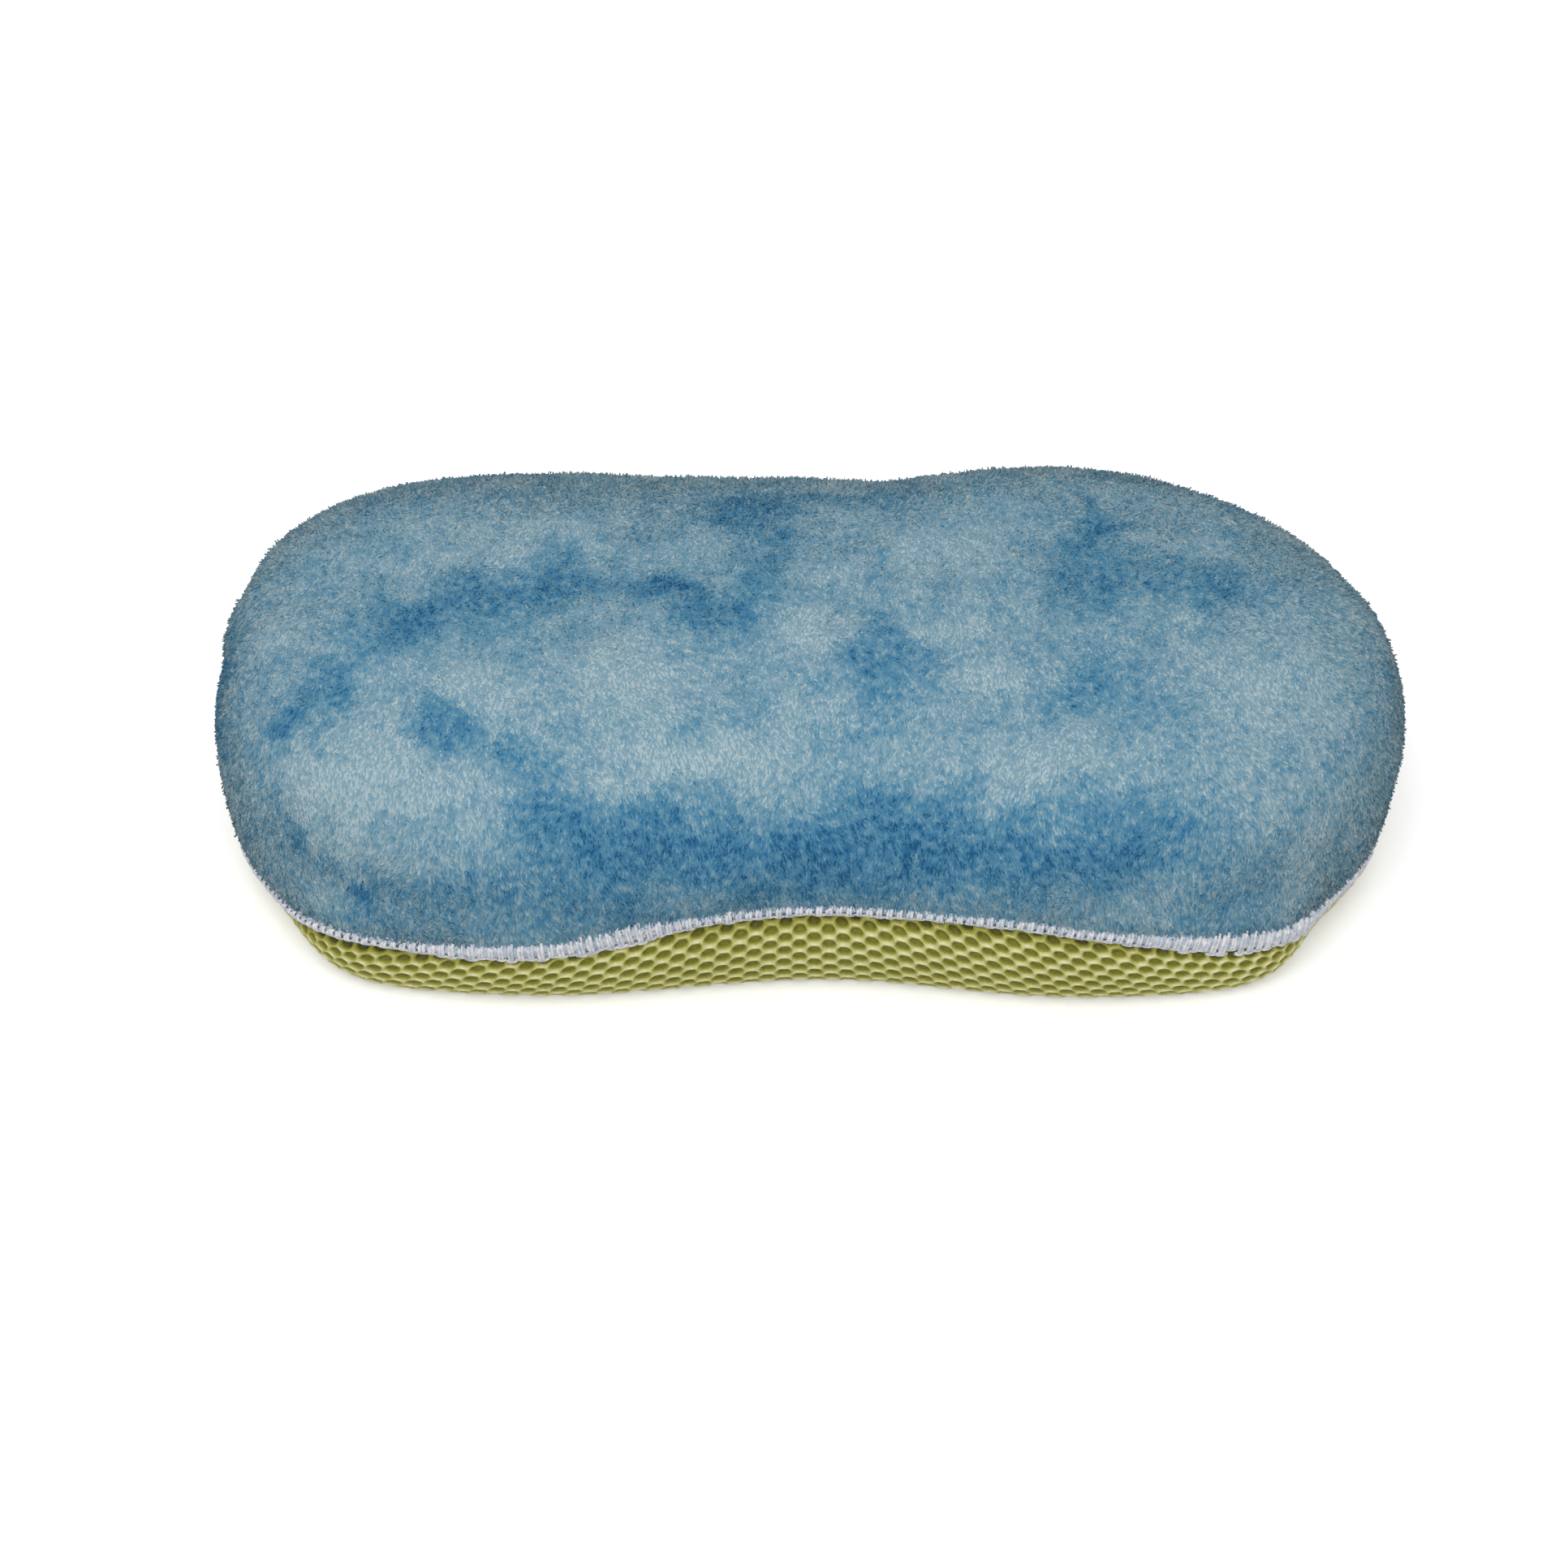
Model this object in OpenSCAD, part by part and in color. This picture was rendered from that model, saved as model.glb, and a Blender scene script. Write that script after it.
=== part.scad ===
// Washing pad with a waist: a foam block in a plush cover above and a honeycomb net cover below.
// The two covers meet at a seam round the side, wrapped in overlock thread.
// The origin is the middle of the underside, the length runs along X and the height along Z.

/* [Pad] */
// Overall length of the pad, without the thread
pad_len = 240; // [180:1:300]
// Width across each of the two lobes
pad_w = 117; // [104:1:150]
// Width across the waist
waist_w = 107; // [90:1:116]
// How far from the middle the waist reaches along the length
waist_run = 48; // [30:1:60]
// Height from the underside to the top of the plush
pad_h = 63; // [50:1:90]
// Squareness of the outline seen from above, 2 is an ellipse
plan_square = 3; // [2.2:0.1:4]
// Height at which the pad is widest
widest_z = 28; // [27:0.5:32]
// Squareness of the plush shoulder, 2 is an ellipse
crown_square = 3; // [2:0.1:4]
// How far the underside's edge is drawn in under the widest line
foot_inset = 9; // [5:0.5:14]

/* [Covers] */
// Thickness of the plush with its pile
fleece_t = 5; // [3.6:0.1:7]
// Thickness of the honeycomb net cloth
net_t = 3.8; // [3.2:0.1:4.2]
// Gap between the foam and either cover
core_gap = 0.5; // [0.3:0.1:0.8]
// Gap between the edges of the two covers
edge_gap = 0.3; // [0.2:0.05:0.6]
// Height over which the foam steps in from the net to the thicker plush
core_step = 1.5; // [1:0.1:1.5]

/* [Seam] */
// Height of the middle of the seam at the lobes
seam_lobe_z = 14; // [12.5:0.5:17]
// Height of the middle of the seam at the waist
seam_waist_z = 26; // [18:0.5:26]
// How far from the middle the seam takes to come down
seam_run = 62; // [40:1:80]
// Height of the band of thread
seam_h = 4.4; // [3:0.1:5]
// Thickness of a thread bar
bar_t = 1.8; // [1.2:0.1:2.6]
// Thickness of the thread between two bars
valley_t = 0.8; // [0.5:0.1:1.1]
// Distance from one thread bar to the next
bar_pitch = 7.2; // [6:0.1:12]
// Gap between the thread and the covers
seam_gap = 0.3; // [0.2:0.05:0.6]

/* [Honeycomb net] */
// Distance between the middles of neighbouring cells
cell_pitch = 10.5; // [9.5:0.5:15]
// Depth of a cell below the strands round it
cell_depth = 2.6; // [1.2:0.1:2.8]
// Depth of a cell that the seam has cut through
cut_cell_depth = 0.8; // [0.2:0.1:1.2]
// Width of a strand between two cells
strand_w = 2.4; // [1.4:0.1:3.4]

/* [Hidden] */

half_len = pad_len / 2;

// Samples round the outline, and the two ends of a bisection
sides = 60;
outline_steps = 720;
halvings = 26;
edge_halvings = 12;
far_out = -90;

// Levels up a section, as angles from the widest line, 90 being the underside
foot_levels = [90, 66, 45];
crown_levels = [0, 22, 44, 62, 75, 84];
plush_levels = [0, 11, 22, 33, 44, 53, 62, 69, 75, 84];
crown_end = 84;

function bend(v, e) = sign(v) * pow(abs(v), e);

// Outline seen from above

// Share of the waist that is felt at a place along the half length
function waist_share(u) = exp(-pow(u * half_len / waist_run, 2));

// Width of the plain outline at a place along the half length, as a share
function plain_share(u) = pow(1 - pow(u, plan_square), 1 / plan_square);

// Half the width that the outline would have without its waist, so that the lobes come to pad_w
side_w = min([for (u = [0.24 : 0.02 : 0.9])
    (pad_w - plain_share(u) * waist_share(u) * waist_w) / 2 / (plain_share(u) * (1 - waist_share(u)))]);
pinch = 1 - waist_w / 2 / side_w;

function outline(a) =
    let (u = bend(cos(a), 2 / plan_square), v = bend(sin(a), 2 / plan_square))
    [u, v * (1 - pinch * waist_share(u))];

// A point of the outline drawn in by a distance, at a height
function place(q, inset, z) = [q.x * (half_len - inset), q.y * (side_w - inset), z];

// Angles at even distances round the outline
outline_pts = [for (i = [0 : outline_steps]) place(outline(i * 360 / outline_steps), 0, 0)];
outline_run = [for (i = 0, s = 0; i <= outline_steps;
    i = i + 1, s = s + (i <= outline_steps ? norm(outline_pts[i] - outline_pts[i - 1]) : 0))
    [s, i * 360 / outline_steps]];
outline_len = outline_run[outline_steps][0];
function outline_at(share) = outline(lookup(share * outline_len, outline_run));
around = [for (i = [0 : sides - 1]) outline_at(i / sides)];

// Section up the side, as [inset, height] at a depth below the surface

function foot_at(ph, depth) =
    let (n = [widest_z * cos(ph), foot_inset * sin(ph)], m = n / norm(n))
    [foot_inset * (1 - cos(ph)), widest_z * (1 - sin(ph))] + depth * m;

function crown_at(ph, depth) =
    [side_w - (side_w - depth) * pow(cos(ph), 2 / crown_square),
     widest_z + (pad_h - widest_z - depth) * pow(sin(ph) / sin(crown_end), 2 / crown_square)];

function angle_of_height(z) = asin(1 - z / widest_z);

// Distance up the side from the underside's edge, against the angle
foot_run = [for (ph = 90, s = 0; ph >= 0; ph = ph - 1, s = s + norm(foot_at(ph, 0) - foot_at(ph + 1, 0)))
    [s, ph]];

// Height of the seam at a place along the length
function seam_z(x) = seam_lobe_z + (seam_waist_z - seam_lobe_z) * exp(-pow(x / seam_run, 2));

// Angle of a line that runs a little above or below the seam
function seam_angle(q, above) = angle_of_height(seam_z(q.x * half_len) + above);

function section_point(q, at) = place(q, at[0], at[1]);

// Closed skin over rings of points, each ring counter-clockwise from above
module skin(rings, ends = true) {
    n = len(rings[0]);
    m = len(rings);
    strips = ends ? m - 1 : m;
    function id(k, i) = (k % m) * n + i % n;
    polyhedron(
        points = [for (r = rings) each r],
        faces = [
            for (k = [0 : strips - 1], i = [0 : n - 1]) each [
                [id(k, i), id(k + 1, i), id(k + 1, i + 1)],
                [id(k, i), id(k + 1, i + 1), id(k, i + 1)]],
            if (ends) [for (i = [0 : n - 1]) id(0, i)],
            if (ends) [for (i = [n - 1 : -1 : 0]) id(m - 1, i)]]);
}

// Foam block, a little smaller than the inside of both covers
module foam_core() {
    under = net_t + core_gap;
    over = fleece_t + core_gap;
    color("khaki")
    skin([
        for (ph = foot_levels) [for (q = around) section_point(q, foot_at(ph, under))],
        [for (q = around) section_point(q, foot_at(seam_angle(q, -2 * core_step), under))],
        [for (q = around) section_point(q, foot_at(seam_angle(q, -core_step), over))],
        for (ph = crown_levels) [for (q = around) section_point(q, crown_at(ph, over))]]);
}

// Plush upper cover, from its inner face round its edge to its outer face
module fleece_cover() {
    above = edge_gap / 2;
    mid = [for (q = around) seam_angle(q, above) / 2];
    color("steelblue")
    skin([
        for (k = [len(crown_levels) - 1 : -1 : 0])
            [for (q = around) section_point(q, crown_at(crown_levels[k], fleece_t))],
        [for (q = around) section_point(q, foot_at(seam_angle(q, above), fleece_t))],
        [for (q = around) section_point(q, foot_at(seam_angle(q, above), 0))],
        [for (i = [0 : sides - 1]) section_point(around[i], foot_at(mid[i], 0))],
        for (ph = plush_levels) [for (q = around) section_point(q, crown_at(ph, 0))]]);
}

// Overlock thread: a band of bars that lies on the edges of both covers
module overlock_seam() {
    bars = round(outline_len / bar_pitch);
    spots = [for (i = [0 : 2 * bars - 1]) outline_at(i / bars / 2)];
    function thread(i) = i % 2 == 0 ? bar_t : valley_t;
    function band(up, out) = [for (i = [0 : 2 * bars - 1])
        section_point(spots[i], foot_at(seam_angle(spots[i], up), -seam_gap - out * thread(i)))];
    color("ghostwhite")
    skin([band(-seam_h / 2, 0), band(-seam_h / 2, 0.6), band(0, 1), band(seam_h / 2, 0.6), band(seam_h / 2, 0)],
        ends = false);
}

// Honeycomb net: a flat sheet of cells, wrapped round the foot of the pad and trimmed at the seam

cell_r = cell_pitch / sqrt(3);
corner_steps = [[2, 0], [1, 1], [-1, 1], [-2, 0], [-1, -1], [1, -1]];

// Half a strand's width as a share of a cell's radius, measured to the corners
lip_share = strand_w / sqrt(3) / cell_r;

// Place of a corner or middle on the flat sheet, from its whole-number coordinates
function on_sheet(key) = [key.x * cell_r / 2, (key.y + 1) * cell_pitch / 2];

// Above zero where a point of the sheet lies beyond the outline drawn in by a distance
function beyond(p, inset) =
    let (u = abs(p.x) / (half_len - inset), v = abs(p.y) / (side_w - inset) / (1 - pinch * waist_share(u)))
    pow(u, plan_square) + pow(v, plan_square) - 1;

// Inset of the outline that runs through a point of the sheet
function inset_of(p, low = far_out, high = foot_inset, n = halvings) =
    n == 0 ? (low + high) / 2 :
    let (mid = (low + high) / 2)
    beyond(p, mid) > 0 ? inset_of(p, low, mid, n - 1) : inset_of(p, mid, high, n - 1);

// Where a point of the sheet comes to lie: its place on the outline and its angle up the side
function wrap(p) =
    let (inset = beyond(p, foot_inset) > 0 ? inset_of(p) : foot_inset)
    [[p.x / (half_len - inset), p.y / (side_w - inset)], lookup(foot_inset - inset, foot_run)];

function wrapped(w, depth) = section_point(w[0], foot_at(w[1], depth));
function inside_seam(w) = let (p = wrapped(w, 0)) p.z < seam_z(p.x) - edge_gap / 2;

// The place between two points of the sheet where the seam cuts it
function cut_between(kept, gone, n = edge_halvings) =
    n == 0 ? kept :
    let (mid = (kept + gone) / 2)
    inside_seam(wrap(mid)) ? cut_between(mid, gone, n - 1) : cut_between(kept, mid, n - 1);

// Corners of a cell that the seam leaves, each as [its place, whether the seam cut it]
function trimmed(corners) =
    let (keep = [for (p = corners) inside_seam(wrap(p))])
    [for (i = [0 : 5])
        let (j = (i + 1) % 6)
        each [
            if (keep[i]) [wrap(corners[i]), false],
            if (keep[i] && !keep[j]) [wrap(cut_between(corners[i], corners[j])), true],
            if (!keep[i] && keep[j]) [wrap(cut_between(corners[j], corners[i])), true]]];

// Triangles from the sides of a polygon to a point
function fan(points, tip) =
    [for (i = [0 : len(points) - 1]) [points[i], points[(i + 1) % len(points)], tip]];

// Triangles between the sides of one polygon and those of another inside it
function frame(outer, inner) =
    [for (i = [0 : len(outer) - 1])
        let (j = (i + 1) % len(outer))
        each [[outer[i], outer[j], inner[j]], [outer[i], inner[j], inner[i]]]];

// Triangles of the cloth's inner face behind one cut side of a cell, from the edge to the middle
function lining(a, b) =
    let (path = function (w) [
            wrapped(w, 0),
            wrapped(w, net_t),
            for (k = [len(foot_levels) - 1 : -1 : 0]) wrapped([w[0], foot_levels[k]], net_t)],
        pa = path(a),
        pb = path(b),
        last = len(pa) - 1)
    [for (k = [0 : last - 1]) each [[pb[k], pa[k], pa[k + 1]], [pb[k], pa[k + 1], pb[k + 1]]],
     [pb[last], pa[last], [0, 0, net_t]]];

// Triangles of one cell: a pit with a flat lip all round, which makes half of each strand
function cell(key) =
    let (c = on_sheet(key),
        corners = [for (step = corner_steps) on_sheet(key + step)],
        left = trimmed(corners),
        n = len(left),
        whole = n == 6 && len([for (w = left) if (w[1]) 1]) == 0)
    n == 0 ? [] :
    let (edge = [for (w = left) wrapped(w[0], 0)])
    whole ?
        let (mouth = [for (p = corners) wrapped(wrap(c + (1 - lip_share) * (p - c)), 0)])
        concat(frame(edge, mouth), fan(mouth, wrapped(wrap(c), cell_depth))) :
    concat(fan(edge, part_middle(left)),
        [for (i = [0 : n - 1])
            if (left[i][1] && left[(i + 1) % n][1]) each lining(left[i][0], left[(i + 1) % n][0])]);

// Middle of what is left of a cell that the seam has cut
function part_middle(left) =
    let (n = len(left),
        ones = [for (w = left) 1],
        q = ones * [for (w = left) w[0][0]] / n,
        ph = ones * [for (w = left) w[0][1]] / n)
    section_point(q, foot_at(ph, cut_cell_depth));

module net_cover() {
    reach = half_len + widest_z;
    columns = ceil(reach / cell_r / 1.5);
    rows = ceil((side_w + widest_z) / cell_pitch);
    triangles = [
        for (i = [-columns : columns], j = [-rows : rows]) each cell([3 * i, 2 * j + abs(i % 2)])];
    color("yellowgreen")
    polyhedron(
        points = [for (t = triangles) each t],
        faces = [for (k = [0 : len(triangles) - 1]) [3 * k, 3 * k + 1, 3 * k + 2]]);
}

foam_core();
fleece_cover();
net_cover();
overlock_seam();
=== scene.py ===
import bmesh
import bpy
import numpy as np
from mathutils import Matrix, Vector, noise
from mathutils.kdtree import KDTree


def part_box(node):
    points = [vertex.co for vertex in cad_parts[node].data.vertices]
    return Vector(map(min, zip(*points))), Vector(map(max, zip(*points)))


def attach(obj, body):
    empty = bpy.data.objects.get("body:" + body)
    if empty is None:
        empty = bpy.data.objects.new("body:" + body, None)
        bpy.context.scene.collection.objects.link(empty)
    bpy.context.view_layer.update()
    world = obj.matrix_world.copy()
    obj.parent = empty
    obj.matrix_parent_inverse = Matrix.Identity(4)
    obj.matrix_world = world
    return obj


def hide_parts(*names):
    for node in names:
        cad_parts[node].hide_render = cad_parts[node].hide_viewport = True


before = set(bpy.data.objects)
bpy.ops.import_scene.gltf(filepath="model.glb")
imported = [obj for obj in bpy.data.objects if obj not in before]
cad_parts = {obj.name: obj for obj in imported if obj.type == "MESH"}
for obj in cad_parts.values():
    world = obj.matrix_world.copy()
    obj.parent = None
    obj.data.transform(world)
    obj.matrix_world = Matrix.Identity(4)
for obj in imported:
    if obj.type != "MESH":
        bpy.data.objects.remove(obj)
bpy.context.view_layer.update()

# Foam core: a block of open-cell polyurethane foam with a waist that the hand closes on.
# It is sawn from a sheet and its edges are rounded off, and the covers are drawn tight over it.
mm = 0.001
half_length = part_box("fleece_cover")[1].x
pad_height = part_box("fleece_cover")[1].z
lobe_width = 117 * mm
waist_width = 107 * mm
waist_run = 48 * mm
plan_square = 3
widest_height = 28 * mm
crown_square = 3
foot_inset = 9 * mm
foam_gap = 0.5 * mm
pile_thickness = 5 * mm
net_thickness = 3.8 * mm
foam_cell = 0.7 * mm
outline_points = 1441

# How the stuffing lies off the plain form: degrees round the pad, then millimetres outwards at the
# widest place, outwards at the foot, and upwards. Degrees are counted on a plan stretched in width.
LUMPS = ((0, 4.6, 2.5, -0.5), (30, -3.8, -3, -1.2), (53, 0.7, 0.9, 3.3), (94, 2.4, 1, 1.8),
         (125, -0.5, -0.3, -1.1), (150, 0.1, 0.1, 1.9), (188, 1.8, 0, 0), (209, -2.6, -1.2, 0),
         (222, 0, 1.8, 0), (235, 2.4, 1.6, 0), (258, 0.8, 1.6, 0), (305, 0.6, -0.2, 0), (318, 0, 2.8, 0),
         (334, -2.4, -2.4, 0))
lump_spread = 22
plan_stretch = 1.6
rise_from = 15 * mm
rise_over = 35 * mm

# Small puckers where the seam was drawn up: degrees round the pad and millimetres outwards. They
# die away towards the middle of the crown.
PUCKERS = ((165, -1.5), (171, 0.9), (178, -1.1), (82, -0.5), (91, 0.4), (101, -0.5), (112, 0.4),
           (20, -0.4), (33, 0.4))
pucker_spread = 2.6
pucker_fade = 6

# The foot is squarer than the side at the front corners, and drawn in under the ends: degrees round
# the pad and millimetres outwards at the floor.
FOOT_CORNERS = ((208, -2.1), (222, 4.5), (320, 5), (331, -2.7))
corner_spread = 8


def bend(value, power):
    return np.sign(value) * np.abs(value) ** power


def waist_share(u):
    return np.exp(-((u * half_length / waist_run) ** 2))


def width_for_lobes():
    """Half the width that the outline would have without its waist."""
    u = np.arange(0.24, 0.91, 0.02)
    plain = (1 - u**plan_square) ** (1 / plan_square)
    waist = waist_share(u)
    return ((lobe_width - plain * waist * waist_width) / 2 / (plain * (1 - waist))).min()


side_width = width_for_lobes()
pinch = 1 - waist_width / 2 / side_width
turn = np.linspace(0, 2 * np.pi, outline_points)
outline_u = bend(np.cos(turn), 2 / plan_square)
outline_v = bend(np.sin(turn), 2 / plan_square) * (1 - pinch * waist_share(outline_u))


def run_along(x, y):
    """Distance run along a line of points."""
    return np.concatenate([[0], np.cumsum(np.hypot(np.diff(x), np.diff(y)))])


outline_run = run_along(outline_u * half_length, outline_v * side_width)


def outline_at(share):
    """Place on the outline, as shares of its half length and half width, at a share of its run."""
    run = np.mod(share, 1) * outline_run[-1]
    return np.interp(run, outline_run, outline_u), np.interp(run, outline_run, outline_v)


def section(climb, depth):
    """Inset and height of the side. climb is 0 to 1 under the pad, to 2 at its widest, to 3 on top."""
    foot = np.radians(90 * (2 - np.clip(climb, 1, 2)))
    slope = np.hypot(widest_height * np.cos(foot), foot_inset * np.sin(foot))
    inset = foot_inset * (1 - np.cos(foot)) + depth * widest_height * np.cos(foot) / slope
    height = widest_height * (1 - np.sin(foot)) + depth * foot_inset * np.sin(foot) / slope
    inset = inset + (side_width - foot_inset) * np.clip(1 - climb, 0, 1)
    crown = np.radians(90 * np.clip(climb - 2, 0, 1))
    crown_in = side_width - (side_width - depth) * np.cos(crown) ** (2 / crown_square)
    crown_up = widest_height + (pad_height - widest_height - depth) * np.sin(crown) ** (2 / crown_square)
    return np.where(climb > 2, crown_in, inset), np.where(climb > 2, crown_up, height)


def nearness(place, angle, spread):
    """How near a place is to an angle round the pad, from 1 down to 0."""
    return np.exp(-((((place - angle + 180) % 360 - 180) / spread) ** 2))


def on_pad(share, climb, depth):
    """Points of the pad at a depth below its surface."""
    u, v = outline_at(share)
    inset, height = section(climb, depth)
    x, y = u * (half_length - inset), v * (side_width - inset)
    place = np.degrees(np.arctan2(plan_stretch * y, x))
    reach = np.clip(1 - inset / side_width, 0, 1)
    rise = reach * np.clip((height - rise_from) / rise_over, 0, 1)
    low = np.clip(1 - height / widest_height, 0, 1)
    out = up = 0
    for angle, outwards, at_foot, upwards in LUMPS:
        near = nearness(place, angle, lump_spread)
        out = out + (outwards + (at_foot - outwards) * low) * mm * near
        up = up + upwards * mm * near
    for angle, outwards in PUCKERS:
        out = out + outwards * mm * nearness(place, angle, pucker_spread) * reach**pucker_fade
    for angle, outwards in FOOT_CORNERS:
        out = out + outwards * mm * nearness(place, angle, corner_spread) * low
    far = np.maximum(np.hypot(x, y), 1e-6)
    return np.stack([x + x / far * out * reach, y + y / far * out * reach, height + up * rise], -1)


climbs = np.linspace(0, 3, 3001)
climb_run = run_along(*section(climbs, 0))


def run_to(climb):
    """Distance along the cloth to a climb, from the middle of the underside."""
    return np.interp(climb, climbs, climb_run)


def steps_up(low, high, step):
    """Levels from one climb to another, a step apart along the cloth."""
    run = run_to([low, high])
    count = max(1, round((run[1] - run[0]) / step))
    return np.interp(np.linspace(run[0], run[1], count + 1), climb_run, climbs)


def mark(mesh, title, values):
    """A named value on every point of a mesh."""
    layer = mesh.attributes.new(title, "FLOAT", "POINT")
    layer.data.foreach_set("value", np.asarray(values, np.float32))


def skin(name, rings, merge=0.02 * mm, marks=None):
    """A mesh of quads between rings of points, with its marks, and its end rings closed on a line."""
    count = len(rings[0])
    k, i = np.meshgrid(np.arange(len(rings) - 1), np.arange(count), indexing="ij")
    j = (i + 1) % count
    quads = np.stack([k * count + i, k * count + j, (k + 1) * count + j, (k + 1) * count + i], -1)
    mesh = bpy.data.meshes.new(name)
    mesh.from_pydata(np.concatenate(rings).tolist(), [], quads.reshape(-1, 4).tolist())
    for title, values in (marks or {}).items():
        mark(mesh, title, values)
    work = bmesh.new()
    work.from_mesh(mesh)
    bmesh.ops.remove_doubles(work, verts=work.verts, dist=merge)
    work.to_mesh(mesh)
    work.free()
    mesh.shade_smooth()
    return mesh


def place_in_scene(name, mesh):
    thing = bpy.data.objects.new(name, mesh)
    bpy.context.scene.collection.objects.link(thing)
    return thing


def linear(hex_colour):
    """Linear colour of an sRGB hex value."""
    parts = [int(hex_colour[i:i + 2], 16) / 255 for i in (1, 3, 5)]
    return tuple(c / 12.92 if c < 0.04045 else ((c + 0.055) / 1.055) ** 2.4 for c in parts) + (1,)


def add(tree, kind, inputs=(), stops=(), **settings):
    """A node with its settings and a ramp's stops. Its inputs are values, sockets or other nodes."""
    node = tree.nodes.new(kind)
    for name, value in settings.items():
        setattr(node, name, value)
    for key, value in inputs.items() if isinstance(inputs, dict) else enumerate(inputs):
        if isinstance(value, bpy.types.Node):
            value = next(socket for socket in value.outputs if socket.enabled)
        if isinstance(value, bpy.types.NodeSocket):
            tree.links.new(value, node.inputs[key])
        else:
            node.inputs[key].default_value = value
    if stops:
        points = node.color_ramp.elements
        points[0].position, points[1].position = stops[0][0], stops[-1][0]
        for place, colour in stops[1:-1]:
            points.new(place)
        for point, (place, colour) in zip(points, stops):
            point.color = linear(colour)
    return node


def new_material(name):
    """An empty material with its Principled shader."""
    material = bpy.data.materials.new(name)
    material.use_nodes = True
    return material, material.node_tree, material.node_tree.nodes["Principled BSDF"]


# Polyurethane foam, foamed and sawn: pale yellow and quite matt, with open cells that pit its skin and
# painted shade darkening each pit.
foam, tree, shader = new_material("polyurethane_foam")
spot = add(tree, "ShaderNodeTexCoord").outputs["Object"]
pore = add(tree, "ShaderNodeTexVoronoi", {
    "Vector": spot, "Scale": 1 / foam_cell}, feature="F1").outputs["Distance"]
# Painted shade: the colour darkens towards the middle of each open cell, down in its pit.
colour = add(tree, "ShaderNodeValToRGB", (pore,), stops=((0, "#a89a5c"), (0.6, "#d9cd93")))
pits = add(tree, "ShaderNodeBump", {"Height": pore, "Strength": 0.6, "Distance": foam_cell})
tree.links.new(colour.outputs["Color"], shader.inputs["Base Color"])
tree.links.new(pits.outputs["Normal"], shader.inputs["Normal"])
shader.inputs["Roughness"].default_value = 0.95

foam_sides = np.linspace(0, 1, 160, endpoint=False)
foam_under = net_thickness + foam_gap
foam_over = pile_thickness + foam_gap
foam_step_at = 1.6
foam_step = 0.1
foam_levels = steps_up(0, 3, 5 * mm)
foam_depths = np.interp(foam_levels, [foam_step_at, foam_step_at + foam_step], [foam_under, foam_over])
foam_core = place_in_scene("foam_block", skin("foam_block", [
    on_pad(foam_sides, level, depth) for level, depth in zip(foam_levels, foam_depths)]))
foam_core.data.materials.append(foam)
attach(foam_core, "root")
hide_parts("foam_core")

# The line of the seam: the two covers meet low on the lobes and rise to the waist. The seam was
# guided by hand, so along the front it wanders, here as millimetres along the pad and up from the
# floor, and round the back it runs plainly.
seam_lobe_height = 14 * mm
seam_waist_height = 26 * mm
seam_run = 62 * mm
FRONT_SEAM = ((-125, 9), (-110, 9.5), (-101, 14), (-87, 16.3), (-67, 17.5), (-48, 18.3), (-28, 23.4),
              (-8, 25.3), (20, 25.9), (45, 26.2), (68, 21.8), (88, 16.5), (97, 15), (105, 12.5), (125, 10))
seam_ease = 7 * mm
front_fade = 14 * mm


def front_share(y):
    """How far a place belongs to the front, from 0 at the back to 1 at the front."""
    return 0.5 - 0.5 * np.tanh(y / front_fade)


def seam_height(x, y):
    """Height of the middle of the seam at a place round the pad."""
    plain = seam_lobe_height + (seam_waist_height - seam_lobe_height) * np.exp(-((x / seam_run) ** 2))
    knots = np.array(FRONT_SEAM) * mm
    drift = [np.interp(x + shift * seam_ease, knots[:, 0], knots[:, 1]) for shift in (-1, -0.5, 0, 0.5, 1)]
    return front_share(y) * np.mean(drift, 0) + (1 - front_share(y)) * plain


def seam_climb(share, above=0):
    """Climb of the seam, or of a line a little above it."""
    u, v = outline_at(share)
    height = seam_height(u * half_length, v * side_width) + above
    return 2 - np.degrees(np.arcsin(np.clip(1 - height / widest_height, 0, 1))) / 90


# The thread draws both covers in beside the seam.
seam_dip = 1.3 * mm
dip_reach = 3 * mm


def dip(share, climb):
    """How far in the cloth lies at a climb, because of the seam near it."""
    away = run_to(climb) - run_to(seam_climb(share))
    return seam_dip * np.exp(-((away / dip_reach) ** 2))


# Stuffing: the covers were sewn as one bag, turned, filled with the block and closed.
# The tight block swells the cloth between the seam, which holds it in, and the flat underside.
slack = 0.4 * mm
slack_from = 1
slack_over = 0.25
swell_most = 3 * mm
stuffing_voxel = 5 * mm
bag_sides = 150
bag_step = 4 * mm
seam_pins = 300
seam_hold = 3.5 * mm
floor_hold = 3.5 * mm
stuffing_pressure = 4
cloth_stiffness = 12
bending_stiffness = 0.5
frames_of_swelling = 20
carry_points = 8
carry_reach = 4 * mm


def slack_point(share, climb, depth):
    """Points of the bag before it is stuffed: slack at the side and on top, and flat underneath."""
    return on_pad(share, climb, depth + slack * np.clip((climb - slack_from) / slack_over, 0, 1))


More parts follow.
